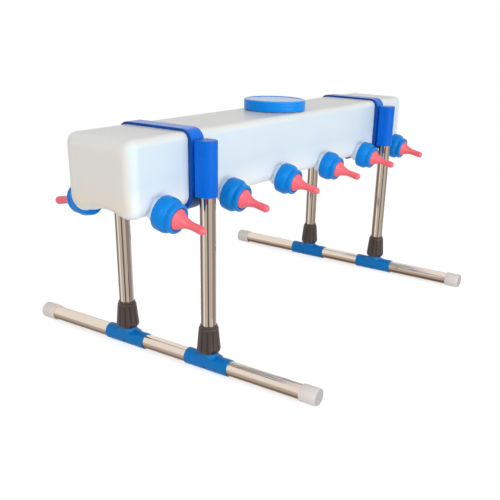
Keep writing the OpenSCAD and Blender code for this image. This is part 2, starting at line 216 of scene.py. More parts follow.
def only(piece):
    """Makes a piece the active one and the only one selected."""
    nothing_selected()
    piece.select_set(True)
    bpy.context.view_layer.objects.active = piece


def start(name, add, **size):
    """Adds a primitive and returns its object."""
    nothing_selected()
    add(**size)
    piece = bpy.context.object
    piece.name = name
    piece.data.name = name
    return piece


def pick(piece, wanted):
    """Enters edit mode with just the wanted vertices selected."""
    only(piece)
    bpy.ops.object.mode_set(mode="EDIT")
    bpy.ops.mesh.select_mode(type="VERT")
    bpy.ops.mesh.select_all(action="DESELECT")
    bpy.ops.object.mode_set(mode="OBJECT")
    for point in piece.data.vertices:
        point.select = wanted(point.co)
    bpy.ops.object.mode_set(mode="EDIT")


def modify(piece, kind, **settings):
    """Adds a modifier, sets it and applies it."""
    only(piece)
    bpy.ops.object.modifier_add(type=kind)
    modifier = piece.modifiers[-1]
    for key, value in settings.items():
        setattr(modifier, key, value)
    bpy.ops.object.modifier_apply(modifier=modifier.name)


def round_over(piece, width, angle):
    """Rounds over the edges that are sharper than an angle."""
    modify(piece, "BEVEL", width=width, segments=3, limit_method="ANGLE", angle_limit=angle)


def smooth(piece, angle=SMOOTH):
    only(piece)
    bpy.ops.object.shade_smooth_by_angle(angle=angle)


def arc(centre, radius, first, last, steps):
    """Points of an arc in the (radius, height) plane, from one angle in degrees to another."""
    angles = [math.radians(first + (last - first) * step / steps) for step in range(steps + 1)]
    return [(centre[0] + radius * math.cos(a), centre[1] + radius * math.sin(a)) for a in angles]


def drawn(name, points):
    """Draws a line by extruding a corner from point to point, and stays in edit mode."""
    piece = start(name, bpy.ops.mesh.primitive_plane_add, size=MM)
    bpy.ops.object.mode_set(mode="EDIT")
    bpy.ops.mesh.select_mode(type="VERT")
    bpy.ops.mesh.select_all(action="SELECT")
    bpy.ops.mesh.merge(type="CENTER")
    bpy.ops.mesh.select_all(action="SELECT")
    bpy.ops.transform.translate(value=points[0])
    for here, there in zip(points, points[1:]):
        step = [b - a for a, b in zip(here, there)]
        bpy.ops.mesh.extrude_region_move(TRANSFORM_OT_translate={"value": step})
    bpy.ops.mesh.select_all(action="SELECT")
    return piece


def drawn_face(name, corners):
    """Draws a closed line and fills it with a face, and stays in edit mode."""
    piece = drawn(name, corners + corners[:1])
    bpy.ops.mesh.remove_doubles(threshold=MERGE)
    bpy.ops.mesh.edge_face_add()
    return piece


def closed(piece):
    """Merges the doubles of the mesh in edit mode, turns its faces outwards and leaves edit mode."""
    bpy.ops.mesh.select_all(action="SELECT")
    bpy.ops.mesh.remove_doubles(threshold=MERGE)
    bpy.ops.mesh.normals_make_consistent(inside=False)
    bpy.ops.object.mode_set(mode="OBJECT")
    return piece


def lathe(name, outline, steps):
    """Draws an outline of (radius, height) points and spins it round Z."""
    piece = drawn(name, [(r, 0, z) for r, z in outline])
    bpy.ops.mesh.spin(steps=steps, angle=math.tau, center=(0, 0, 0), axis=(0, 0, 1))
    smooth(closed(piece))
    return piece


def copy_of(piece, name, place):
    """A copy with its own mesh, moved into place in that mesh."""
    twin = piece.copy()
    twin.data = piece.data.copy()
    twin.name = name
    twin.data.name = name
    twin.data.transform(place)
    bpy.context.collection.objects.link(twin)
    return twin


def joined(pieces):
    nothing_selected()
    for piece in pieces:
        piece.select_set(True)
    bpy.context.view_layer.objects.active = pieces[0]
    bpy.ops.object.join()
    return pieces[0]


def combine(piece, operand, operation):
    """Joins a solid to a piece, cuts it out or keeps what both share, and removes the solid."""
    modify(piece, "BOOLEAN", operation=operation, object=operand)
    bpy.data.objects.remove(operand)


def softened(node, name, width):
    """A copy of a plain solid with its sharp edges rounded over."""
    piece = bpy.data.objects.new(name, frame["nodes"][node].data.copy())
    piece.data.name = name
    bpy.context.collection.objects.link(piece)
    only(piece)
    bpy.ops.object.mode_set(mode="EDIT")
    bpy.ops.mesh.select_all(action="SELECT")
    bpy.ops.mesh.remove_doubles(threshold=MERGE)
    bpy.ops.mesh.customdata_custom_splitnormals_clear()
    bpy.ops.mesh.dissolve_limited(angle_limit=FLAT)
    bpy.ops.object.mode_set(mode="OBJECT")
    smooth(piece)
    round_over(piece, width, SMOOTH)
    modify(piece, "WEIGHTED_NORMAL", keep_sharp=True)
    return piece


def box_middle(node):
    low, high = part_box(node)
    return (low + high) / 2


def aimed(place, direction):
    """Takes a piece made along +Z to a place, where it points in a direction."""
    turn = UP.rotation_difference(direction).to_matrix().to_4x4()
    return Matrix.Translation(place) @ turn


def teat_place(side, number):
    """Takes a piece made along +Z to its teat's axis, with its foot on the tank's wall."""
    joint = JOINTS[f"{side}_cap_{number}_unscrew"]
    return aimed(Vector(joint["pos_m"]), Vector(joint["axis"]))


def place_piece(piece, body, node, slot, finish=None):
    """Seats a piece: its body, the node it stands for, its slot, and its finish where that differs."""
    piece.data.materials.clear()
    piece.data.materials.append(MATERIALS[finish or slot])
    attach(piece, body)
    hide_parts(node)


# Material helpers


def wire(tree, kind, inputs, **settings):
    """Adds a node; a socket given as an input is linked, and any other value is set."""
    node = tree.nodes.new(kind)
    for key, value in settings.items():
        setattr(node, key, value)
    for key, value in inputs.items():
        if isinstance(value, bpy.types.NodeSocket):
            tree.links.new(value, node.inputs[key])
        else:
            node.inputs[key].default_value = value
    return node


def worked(tree, operation, *values):
    """What a Math node makes of its values."""
    return wire(tree, "ShaderNodeMath", dict(enumerate(values)), operation=operation).outputs[0]


def ramp(tree, value, low, high, kind="LINEAR"):
    """Share that goes from 0 to 1 as a value goes from low to high."""
    limits = {"Value": value, "From Min": low, "From Max": high}
    return wire(tree, "ShaderNodeMapRange", limits, interpolation_type=kind).outputs[0]


def noise(tree, place, scale, detail):
    inputs = {"Vector": place, "Scale": scale, "Detail": detail}
    return wire(tree, "ShaderNodeTexNoise", inputs).outputs[0]


def mixed(tree, share, first, second):
    """Colour that goes from first to second as share goes from 0 to 1."""
    mix = wire(tree, "ShaderNodeMix", {0: share, 6: first, 7: second}, data_type="RGBA")
    return mix.outputs[2]


def mixed_shader(tree, share, first, second):
    return wire(tree, "ShaderNodeMixShader", {0: share, 1: first, 2: second}).outputs[0]


def object_place(tree):
    return wire(tree, "ShaderNodeTexCoord", {}).outputs["Object"]


def axes_of(tree, place):
    return wire(tree, "ShaderNodeSeparateXYZ", {0: place}).outputs


def share_over(tree, place, height, depth=0.6 * MM):
    """Nought on what lies under a height and one on what lies over it."""
    return ramp(tree, axes_of(tree, place)["Z"], height - depth, height)


def off_axis(tree, along, middle):
    """Distance from the nearer of two axes that lie at plus and minus the middle."""
    axis = worked(tree, "MULTIPLY", worked(tree, "SIGN", along), middle)
    return worked(tree, "SUBTRACT", along, axis)


def leg_angle(tree, place, node):
    """Angle round the nearest leg, for a node that is the piece of the right back leg."""
    middle = box_middle(node)
    axes = axes_of(tree, place)
    off_x = off_axis(tree, axes["X"], middle.x)
    off_y = off_axis(tree, axes["Y"], middle.y)
    return worked(tree, "ARCTAN2", off_y, off_x)


def banded(tree, angle, colour, bands, edge):
    """Colour with soft-edged bands of painted reflection laid over it, each between two angles in degrees.
    """
    soft = math.radians(edge)
    for first, last, band in bands:
        middle = math.radians((first + last) / 2)
        half = math.radians((last - first) / 2)
        away = worked(tree, "ABSOLUTE", worked(tree, "SUBTRACT", angle, middle))
        colour = mixed(tree, ramp(tree, away, half + soft, half - soft), colour, band)
    return colour


def new_group(name, inputs, outputs):
    """An empty shader group with its named sockets, and its input and output nodes."""
    group = bpy.data.node_groups.new(name, "ShaderNodeTree")
    for label, kind, value in inputs:
        socket = group.interface.new_socket(name=label, in_out="INPUT", socket_type="NodeSocket" + kind)
        socket.default_value = value
    for label in outputs:
        group.interface.new_socket(name=label, in_out="OUTPUT", socket_type="NodeSocketFloat")
    return group, group.nodes.new("NodeGroupInput").outputs, group.nodes.new("NodeGroupOutput").inputs


def moulded_skin_group():
    """Cloudy colour, fine grain and uneven gloss of a moulded surface."""
    group, given, out = new_group(
        "moulded_skin",
        [
            ("Place", "Vector", (0, 0, 0)),
            ("Cloud Scale", "Float", 25.0),
            ("Grain Scale", "Float", GRAIN_SCALE),
            ("Roughness", "Float", 0.35),
            ("Roughness Spread", "Float", 0.1),
        ],
        ["Cloud", "Grain", "Roughness"],
    )
    cloud = noise(group, given["Place"], given["Cloud Scale"], detail=3.0)
    grain = noise(group, given["Place"], given["Grain Scale"], detail=2.0)
    centred = worked(group, "SUBTRACT", cloud, 0.5)
    gloss = worked(group, "MULTIPLY_ADD", centred, given["Roughness Spread"], given["Roughness"])
    group.links.new(cloud, out["Cloud"])
    group.links.new(grain, out["Grain"])
    group.links.new(gloss, out["Roughness"])
    return group


def rub_marks_group():
    """Fine lines that handling and drawing leave, along the direction that Stretch leaves long."""
    group, given, out = new_group(
        "rub_marks",
        [
            ("Place", "Vector", (0, 0, 0)),
            ("Stretch", "Vector", (1, 1, 1)),
            ("Scale", "Float", 420.0),
            ("Amount", "Float", 0.16),
        ],
        ["Mask", "Streak"],
    )
    factors = {0: given["Place"], 1: given["Stretch"]}
    place = wire(group, "ShaderNodeVectorMath", factors, operation="MULTIPLY").outputs[0]
    streak = noise(group, place, given["Scale"], detail=4.0)
    mask = worked(group, "MULTIPLY", ramp(group, streak, *RUB_EDGE), given["Amount"])
    group.links.new(mask, out["Mask"])
    group.links.new(streak, out["Streak"])
    return group


MOULDED_SKIN = moulded_skin_group()
RUB_MARKS = rub_marks_group()


def new_material(name, **sockets):
    """A material with its Principled shader, with plain values set on the shader's own sockets."""
    material = bpy.data.materials.new(name)
    material.use_nodes = True
    shader = material.node_tree.nodes["Principled BSDF"]
    for key, value in sockets.items():
        shader.inputs[key.replace("_", " ")].default_value = value
    return material, material.node_tree, shader.inputs


def blank_material(name):
    """A material with an empty node tree."""
    material = bpy.data.materials.new(name)
    material.use_nodes = True
    material.node_tree.nodes.clear()
    return material, material.node_tree


def use_group(tree, group, **inputs):
    spaced = {key.replace("_", " "): value for key, value in inputs.items()}
    return wire(tree, "ShaderNodeGroup", spaced, node_tree=group).outputs


def link_look(tree, shader, colour, roughness, height, depth=GRAIN_DEPTH):
    """Links a colour, a roughness and a bump's height to a shader."""
    bump = wire(tree, "ShaderNodeBump", {"Height": height, "Distance": depth, "Strength": 1.0})
    tree.links.new(colour, shader["Base Color"])
    tree.links.new(roughness, shader["Roughness"])
    tree.links.new(bump.outputs[0], shader["Normal"])


# Materials


def moulded(name, deep, light, roughness, grain=GRAIN_SCALE, depth=GRAIN_DEPTH, **sockets):
    """Moulded plastic or rubber: two close tones in clouds, fine grain and uneven gloss."""
    material, tree, shader = new_material(name, **sockets)
    place = object_place(tree)
    skin = use_group(tree, MOULDED_SKIN, Place=place, Grain_Scale=grain, Roughness=roughness)
    colour = mixed(tree, skin["Cloud"], deep, light)
    link_look(tree, shader, colour, skin["Roughness"], skin["Grain"], depth)
    return material


def painted_leg_reflections(tree, place, colour):
    """Painted reflections: bright and dark bands along a leg tube, laid round it from the camera's facing,
    the same on its two halves.
    """
    angle = leg_angle(tree, place, "leg_tube_right_back")
    angle = worked(tree, "SUBTRACT", angle, FACING)
    angle = worked(tree, "WRAP", angle, math.pi / 2, -math.pi / 2)
    # Painted reflections: a brown band, a cream highlight, a dark line and a taupe band
    bands = [
        (-65, -40, tone(136, 113, 96)),
        (-33, -23, tone(255, 249, 238)),
        (-0.5, 8.5, tone(76, 60, 51)),
        (36, 65, tone(156, 142, 134)),
    ]
    return banded(tree, angle, colour, bands, edge=2.5)


def painted_foot_reflections(tree, place, colour):
    """Painted reflections: tan and brown bands along the lower half of a foot tube, the brown one standing
    for the shaded floor seen in it.
    """
    middle = box_middle("foot_tube_right")
    axes = axes_of(tree, place)
    off_x = worked(tree, "ABSOLUTE", off_axis(tree, axes["X"], middle.x))
    off_z = worked(tree, "SUBTRACT", axes["Z"], middle.z)
    angle = worked(tree, "ARCTAN2", off_z, off_x)
    underneath = -120
    # Painted reflection of the floor and of its shade under the tube
    bands = [
        (underneath, 10, tone(194, 173, 155)),
        (underneath, -13, tone(116, 93, 76)),
    ]
    return banded(tree, angle, colour, bands, edge=6)


def polished(name, stretch, tones, bands=None):
    """Polished steel with faint drawn lines along it, in two close tones, and painted reflection bands if
    it has any.
    """
    material, tree, shader = new_material(name, Metallic=1.0)
    place = object_place(tree)
    marks = use_group(tree, RUB_MARKS, Place=place, Stretch=stretch)
    colour = mixed(tree, marks["Streak"], *tones)
    if bands:
        colour = bands(tree, place, colour)
    roughness = worked(tree, "ADD", marks["Mask"], STEEL_ROUGHNESS)
    link_look(tree, shader, colour, roughness, marks["Streak"], DRAWN_DEPTH)
    return material


def milky_tank():
    """Translucent blow-moulded wall with painted light: sides painted cool, ends painted warm and warmer
    low down, the top painted plain, and the low side wall painted paler as though lit through.
    """
    material, tree, shader = new_material(
        "tank_polyethylene",
        Subsurface_Weight=0.35,
        Subsurface_Radius=(0.9, 1.0, 1.1),
        Subsurface_Scale=12 * MM,
        IOR=1.5,
    )
    place = object_place(tree)
    skin = use_group(
        tree,
        MOULDED_SKIN,
        Place=place,
        Cloud_Scale=7.0,
        Grain_Scale=420.0,
        Roughness=0.3,
        Roughness_Spread=0.12,
    )
    axes = axes_of(tree, place)
    half_len = TANK_LEN / 2
    end_zone = (half_len - 8 * MM, half_len - 0.5 * MM)
    top_zone = (TANK_TOP - 12 * MM, TANK_TOP - 2 * MM)
    low_zone = (TANK_FLOOR + 50 * MM, TANK_FLOOR + 10 * MM)
    # Painted light: shares for the ends, the top and the low wall, which take lit tones
    painted_end_share = ramp(tree, worked(tree, "ABSOLUTE", axes["X"]), *end_zone, "SMOOTHSTEP")
    painted_top_share = ramp(tree, axes["Z"], *top_zone, "SMOOTHSTEP")
    painted_low_light = ramp(tree, axes["Z"], *low_zone)
    # Painted light: a cool side that is paler low down, a warm end and a plain top
    side = mixed(tree, skin["Cloud"], tone(204, 223, 236), tone(217, 234, 244))
    side = mixed(tree, painted_low_light, side, tone(240, 249, 254))
    end = mixed(tree, painted_low_light, tone(230, 226, 219), tone(234, 222, 205))
    top = mixed(tree, skin["Cloud"], tone(226, 227, 223), tone(236, 238, 235))
    colour = mixed(tree, painted_end_share, mixed(tree, painted_top_share, side, top), end)
    swell = 24.0
    waves = worked(tree, "MULTIPLY_ADD", skin["Cloud"], swell, skin["Grain"])
    link_look(tree, shader, colour, skin["Roughness"], waves, COARSE_DEPTH)
    return material


def lid_plastic():
    """Lid plastic: a satin skirt under a glossy top."""
    material, tree, shader = new_material("lid_blue", Specular_IOR_Level=0.16, Coat_Roughness=0.1)
    place = object_place(tree)
    skin = use_group(tree, MOULDED_SKIN, Place=place, Roughness=0.3)
    colour = mixed(tree, skin["Cloud"], tone(0, 129, 219), tone(0, 141, 231))
    link_look(tree, shader, colour, skin["Roughness"], skin["Grain"])
    gloss_foot = LID_TOP - 1.1 * MM
    tree.links.new(share_over(tree, place, gloss_foot), shader["Coat Weight"])
    return material


def strap_band():
    """Strap plastic: bright round the band, glossy on top, with painted shade under the sockets and on the
    cut edges.
    """
    material, tree, shader = new_material("strap_blue", Specular_IOR_Level=0.14, Coat_Roughness=0.12)
    place = object_place(tree)
    skin = use_group(tree, MOULDED_SKIN, Place=place, Roughness=0.3)
    low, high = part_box("strap_right")
    half_w = (high.x - low.x) / 2
    edge_zone = (half_w - 1 * MM, half_w - 0.3 * MM)
    off_middle = off_axis(tree, axes_of(tree, place)["X"], (low.x + high.x) / 2)
    shaded_edge_share = ramp(tree, worked(tree, "ABSOLUTE", off_middle), *edge_zone)
    # Painted shade: a deeper tone low on the strap under the sockets, and on its cut edges
    band = mixed(tree, skin["Cloud"], tone(0, 106, 214), tone(2, 118, 230))
    shade = mixed(tree, skin["Cloud"], tone(6, 62, 128), tone(8, 72, 142))
    edge = mixed(tree, skin["Cloud"], tone(8, 68, 146), tone(10, 78, 162))
    shade_h = 14 * MM
    band = mixed(tree, share_over(tree, place, SOCKET_FOOT + shade_h, shade_h), shade, band)
    link_look(tree, shader, mixed(tree, shaded_edge_share, band, edge), skin["Roughness"], skin["Grain"])
    top_gloss = 0.4
    gloss_foot = TANK_TOP + 3 * MM
    gloss = worked(tree, "MULTIPLY", share_over(tree, place, gloss_foot), top_gloss)
    tree.links.new(gloss, shader["Coat Weight"])
    return material


def fluted_plastic():
    """Collar plastic with painted shade: darker down in the flutes and paler along the ribs between them.
    """
    material, tree, shader = new_material("collar_plastic", Specular_IOR_Level=0.5)
    place = object_place(tree)
    skin = use_group(tree, MOULDED_SKIN, Place=place, Cloud_Scale=40.0, Grain_Scale=700.0, Roughness=0.2)
    node = "lock_collar_right_back"
    angle = leg_angle(tree, place, node)
    wave = worked(tree, "COSINE", worked(tree, "MULTIPLY", angle, float(FLUTES)))
    flute_zone = (0.1, 0.8)
    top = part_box(node)[1].z
    ring_zone = (top - 7 * MM, top - 8 * MM)
    below_ring = ramp(tree, axes_of(tree, place)["Z"], *ring_zone)
    # Painted shade: the flutes darker and the ribs paler, below the top ring
    deep = worked(tree, "MULTIPLY", ramp(tree, wave, *flute_zone), below_ring)
    lit_rib = mixed(tree, skin["Cloud"], tone(60, 47, 41), tone(73, 59, 52))
    flute = mixed(tree, skin["Cloud"], tone(35, 26, 22), tone(45, 35, 30))
    link_look(tree, shader, mixed(tree, deep, lit_rib, flute), skin["Roughness"], skin["Grain"])
    return material


def end_cap_plastic():
    """Soft white plastic, with painted shade that makes its closed end greyer."""
    material, tree, shader = new_material("end_cap_white")
    place = object_place(tree)
    skin = use_group(tree, MOULDED_SKIN, Place=place, Roughness=0.4)
    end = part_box("foot_caps_right")[1].y
    end_zone = (end - 1.6 * MM, end - 0.4 * MM)
    painted_end_share = ramp(tree, worked(tree, "ABSOLUTE", axes_of(tree, place)["Y"]), *end_zone)
    # Painted shade: a lit tone round the side and a greyer shaded tone on the closed end
    lit_round = mixed(tree, skin["Cloud"], tone(218, 208, 201), tone(232, 224, 218))
    shaded_disc = mixed(tree, skin["Cloud"], tone(166, 162, 162), tone(180, 177, 177))
    link_look(tree, shader, mixed(tree, painted_end_share, lit_round, shaded_disc), skin["Roughness"], skin["Grain"])
    return material


def make_materials():
    return {
        "tank_white": milky_tank(),
        "cap_blue": moulded(
            "cap_blue", tone(0, 122, 209), tone(0, 138, 225), roughness=0.16, Specular_IOR_Level=0.13
        ),
        "lid_blue": lid_plastic(),
        "socket_blue": moulded(
            "socket_blue", tone(0, 94, 198), tone(2, 104, 211), roughness=0.28, Specular_IOR_Level=0.1
        ),
        "strap_blue": strap_band(),
        "tee_blue": moulded(
            "tee_blue",
            tone(0, 110, 182),
            tone(8, 123, 197),
            roughness=0.42,
            grain=500.0,
            depth=COARSE_DEPTH,
            Specular_IOR_Level=0.2,
        ),
        "teat_rubber": moulded(
            "teat_rubber",
            tone(243, 94, 107),
            tone(252, 111, 122),
            roughness=0.34,
            Subsurface_Weight=0.12,
            Subsurface_Radius=(1.0, 0.4, 0.35),
            Subsurface_Scale=4 * MM,
        ),
        "upright_tube": polished("upright_tube", (1, 1, DRAWN), LEG_TONES, painted_leg_reflections),
        "foot_tube": polished("foot_tube", (1, DRAWN, 1), STEEL_TONES, painted_foot_reflections),
        "collar_plastic": fluted_plastic(),
        "ferrule_plastic": moulded("ferrule_plastic", tone(58, 62, 62), tone(72, 76, 76), roughness=0.45),
        "end_cap_white": end_cap_plastic(),
        "fastener_steel": polished("fastener_steel", (1, 1, 1), STEEL_TONES),
        # Painted shade: dark steel for the tee screws, standing for the shade in their holes
        "screw_hole_shade_steel": polished("screw_hole_shade_steel", (1, 1, 1), SCREW_HOLE_SHADE_TONES),
        "seal_rubber": moulded("seal_rubber", tone(52, 52, 54), tone(66, 66, 68), roughness=0.6),
    }


MATERIALS = make_materials()


# Tank


def tank_section(grow):
    """The tank's cross-section as (y, z) points, grown outwards; its floor is arched between two lobes."""
    half_w = TANK_W / 2 + grow
    r_low = TANK_R_LOW + grow
    r_top = TANK_R_TOP + grow
    floor = TANK_FLOOR - grow
    top = TANK_TOP + grow
    lobe = half_w - r_low
    reach = (lobe**2 + FLOOR_CROWN**2) / (2 * FLOOR_CROWN)
    arch_r = reach - r_low
    lean = math.degrees(math.acos(lobe / reach))
    back = [
        *arc((lobe, floor + r_low), r_low, 180 + lean, 360, 12),
        *arc((half_w - r_top, top - r_top), r_top, 0, 90, 8),
    ]
    front = [(-y, z) for y, z in reversed(back)]
    arch = arc((0, floor + FLOOR_CROWN - arch_r), arch_r, 180 - lean, lean, 12)
    return back + front + arch[1:-1]


def tank_form(name, grow):
    """The tank's closed form, grown outwards: its section runs along X and draws in round both ends."""
    half_len = TANK_LEN / 2 + grow
    radius = TANK_R_END + grow
    width = TANK_W + 2 * grow
    height = TANK_TOP - TANK_FLOOR + 2 * grow
    middle = (TANK_TOP + TANK_FLOOR) / 2
    steps = 10
    turns = [math.pi / 2 * step / steps for step in range(steps + 1)]
    left = [(-half_len + radius * (1 - math.cos(t)), radius * (1 - math.sin(t))) for t in turns]
    stations = [
        (x, 1 - 2 * inset / width, 1 - 2 * inset / height)
        for x, inset in left + [(-x, inset) for x, inset in reversed(left)]
    ]
    first_x, first_y, first_z = stations[0]
    section = [(first_x, y * first_y, middle + (z - middle) * first_z) for y, z in tank_section(grow)]
    piece = drawn_face(name, section)
    for here, there in zip(stations, stations[1:]):
        bpy.ops.mesh.extrude_region_move(TRANSFORM_OT_translate={"value": (there[0] - here[0], 0, 0)})
        bpy.ops.transform.resize(
            value=(1, there[1] / here[1], there[2] / here[2]), center_override=(there[0], 0, middle)
        )
    return closed(piece)


def round_nosed_plug(name, radius, length):
    """Plug along a teat's axis with a ball behind the wall and a rounded lip in front."""
    lip = 1 * MM
    outline = [
        *arc((0, 0), radius, -90, 0, 10),
        *arc((radius - lip, length - lip), lip, 0, 90, 4),
        (0, length),
    ]
    return lathe(name, outline, steps=48)


def neck_thread():
    """Two turns of thread round the neck."""
    lift = 3 * MM
    sunk = 0.4 * MM
    half_h = 1.3 * MM
    steps = 72
    root_r = NECK_R - THREAD_DEPTH - sunk
    piece = start(
        "neck_thread",
        bpy.ops.mesh.primitive_circle_add,
        vertices=4,
        radius=1,
        rotation=(math.pi / 2, 0, 0),
        location=(root_r, 0, TANK_TOP + lift),
    )
    bpy.ops.transform.resize(value=(NECK_R - root_r, 1, half_h))
    bpy.ops.object.transform_apply(location=True, rotation=True, scale=True)
    modify(
        piece,
        "SCREW",
        angle=math.tau,
        iterations=2,
        screw_offset=THREAD_PITCH,
        steps=steps,
        render_steps=steps,
        use_merge_vertices=False,
    )
    bpy.ops.object.mode_set(mode="EDIT")
    bpy.ops.mesh.select_all(action="SELECT")
    bpy.ops.mesh.remove_doubles(threshold=MERGE)
    bpy.ops.mesh.fill_holes(sides=4)
    return closed(piece)


def neck_form():
    """The neck's closed form, set a little into the tank's top."""
    foot = TANK_TOP - 2 * MM
    root_r = NECK_R - THREAD_DEPTH
    lip = 1.2 * MM
    outline = [
        (0, foot),
        (root_r, foot),
        *arc((root_r - lip, NECK_TOP - lip), lip, 0, 90, 4),
        (0, NECK_TOP),
    ]
    return lathe("neck", outline, steps=96)


def neck_bore_form():
    foot = TANK_TOP - 2 * TANK_WALL
    top = NECK_TOP + TANK_WALL
    return lathe("neck_bore", [(0, foot), (NECK_BORE_R, foot), (NECK_BORE_R, top), (0, top)], steps=96)


def make_tank():
    """Hollow tank with its threaded neck and its spigots, open right through."""
    tank = tank_form("moulded_tank", 0)
    past_mouth = 4 * MM
    spigot = round_nosed_plug("spigot", SPIGOT_R, SPIGOT_LEN)
    bore = round_nosed_plug("bore", SPIGOT_BORE_R, SPIGOT_LEN + past_mouth)
    spigots = [copy_of(spigot, f"spigot_{s}_{n}", teat_place(s, n)) for s, n in TEATS]
    bores = [copy_of(bore, f"bore_{s}_{n}", teat_place(s, n)) for s, n in TEATS]
    neck = neck_form()
    neck_bore = neck_bore_form()
    bpy.data.objects.remove(spigot)
    bpy.data.objects.remove(bore)
    combine(tank, joined(spigots + [neck]), "UNION")
    smooth(tank)
    round_over(tank, ROOT_ROUND, ROOT_ANGLE)
    combine(tank, neck_thread(), "UNION")
    combine(tank, tank_form("cavity", -TANK_WALL), "DIFFERENCE")
    combine(tank, joined(bores + [neck_bore]), "DIFFERENCE")
    smooth(tank)
    modify(tank, "WEIGHTED_NORMAL", keep_sharp=True)
    place_piece(tank, "tank", "tank_shell", "tank_white")


# Lid, caps and teats


def make_lid():
    """Screw lid with three shallow rings round its skirt, a raised rim and a vent."""
    edge = 2.2 * MM
    foot = 0.8 * MM
    ring = 0.7 * MM
    rim_r = LID_R - 7 * MM
    well = 0.9 * MM
    bevel = 1 * MM
    height = LID_TOP - LID_FOOT
    under = height - LID_TOP_T
    rings = []
    for share in LID_RINGS:
        rings += arc((LID_R, share * height), ring, -90, -270, 6)
    outline = [
        (LID_BORE_R, 0),
        *arc((LID_R - foot, foot), foot, -90, 0, 3),
        *rings,
        *arc((LID_R - edge, height - edge), edge, 0, 90, 6),
        *arc((rim_r + well, height - well), well, 90, 180, 4),
        (VENT_R + 2 * well, height - well),
        (VENT_R, height - well),
        (VENT_R, under),
        (LID_BORE_R - bevel, under),
        (LID_BORE_R, under - bevel),
        (LID_BORE_R, 0),
    ]
    lid = lathe("screw_lid", [(r, LID_FOOT + z) for r, z in outline], steps=128)
    place_piece(lid, "lid", "lid_cap", "cap_blue", finish="lid_blue")


def make_caps():
    """Teat caps: a wide ring with a round shoulder, a waist, and a round-edged nose with a lip."""
    back = 1.2 * MM
    back_inset = 0.3 * MM
    shoulder_r = CAP_R - CAP_SHOULDER_R
    shoulder_a = math.degrees(math.acos((CAP_WAIST_R - shoulder_r) / CAP_SHOULDER_R))
    shoulder_z = CAP_RING_LEN - CAP_SHOULDER_R * math.sin(math.radians(shoulder_a))
    waist = 0.7 * MM
    waist_len = 2.6 * MM
    nose_back = 0.9 * MM
    nose_front = 3 * MM
    lip_edge = 0.8 * MM
    lip_r = TEAT_BASE_R + TEAT_GROOVE
    bore_r = SPIGOT_R + FIT
    outline = [
        (bore_r, 0),
        *arc((CAP_R - back - back_inset, back), back, -90, -10, 4),
        *arc((shoulder_r, shoulder_z), CAP_SHOULDER_R, 0, shoulder_a, 10),
        *arc((CAP_WAIST_R + waist, CAP_RING_LEN + waist), waist, 250, 180, 3),
        *arc((CAP_NOSE_R - nose_back, CAP_RING_LEN + waist_len), nose_back, -60, 0, 3),
        *arc((CAP_NOSE_R - nose_front, CAP_LEN - nose_front), nose_front, 0, 90, 6),
        *arc((lip_r + lip_edge, CAP_LEN - lip_edge), lip_edge, 90, 180, 4),
        (lip_r, CAP_LEN - CAP_LIP),
        (bore_r, CAP_LEN - CAP_LIP),
        (bore_r, 0),
    ]
    model = lathe("cap_model", [(r, CAP_BACK + z) for r, z in outline], steps=64)
    for side, number in TEATS:
        cap = copy_of(model, f"screw_cap_{side}_{number}", teat_place(side, number))
        place_piece(cap, f"{side}_cap_{number}_body", f"{side}_cap_{number}", "cap_blue")
    bpy.data.objects.remove(model)


def make_teats():
    """Hollow teats: a flange, a flared base, a slim stem and a swollen tip with its milk hole."""
    seat_gap = 0.3 * MM
    root = 0.6 * MM
    edge = 0.8 * MM
    foot = SPIGOT_LEN
    base = foot + FLANGE_T + seat_gap + CAP_LIP
    ball = base + TEAT_LEN - TEAT_STEM_R
    rise = TEAT_BASE_R - TEAT_WAIST_R
    flare_r = (FLARE_LEN**2 + rise**2) / (2 * rise)
    flare_a = math.degrees(math.asin(FLARE_LEN / flare_r))
    flare = arc((TEAT_WAIST_R + flare_r, base + FLARE_LEN), flare_r, 180 + flare_a, 180, 14)
    hole_a = math.degrees(math.acos(MILK_HOLE_R / TEAT_STEM_R))
    inner_r = TEAT_STEM_R - TEAT_WALL
    inner_a = math.degrees(math.acos(MILK_HOLE_R / inner_r))
    ball_a = -8
    outline = [
        (TEAT_BASE_R - TEAT_WALL, foot),
        *arc((FLANGE_R - edge, foot + edge), edge, -90, 0, 3),
        *arc((FLANGE_R - edge, foot + FLANGE_T - edge), edge, 0, 90, 3),
        (TEAT_BASE_R, foot + FLANGE_T),
        (TEAT_BASE_R, base - root),
        *flare,
        *arc((0, ball), TEAT_STEM_R, ball_a, hole_a, 12),
        *arc((0, ball), inner_r, inner_a, 0, 8),
        *[(r - TEAT_WALL, s) for r, s in reversed(flare)],
        (TEAT_BASE_R - TEAT_WALL, foot),
    ]
    model = lathe("teat_model", outline, steps=48)
    for side, number in TEATS:
        teat = copy_of(model, f"rubber_teat_{side}_{number}", teat_place(side, number))
        place_piece(teat, "tank", f"{side}_teat_{number}", "teat_rubber")
    bpy.data.objects.remove(model)


# Leg frames


def make_straps_and_sockets():
    for end in ENDS:
        strap = softened(f"strap_{end}", f"tank_strap_{end}", STRAP_ROUND)
        place_piece(strap, "tank", f"strap_{end}", "strap_blue")
    for leg in LEGS:
        socket = softened(f"leg_socket_{leg}", f"tube_socket_{leg}", SOCKET_ROUND)
        place_piece(socket, "tank", f"leg_socket_{leg}", "strap_blue", finish="socket_blue")


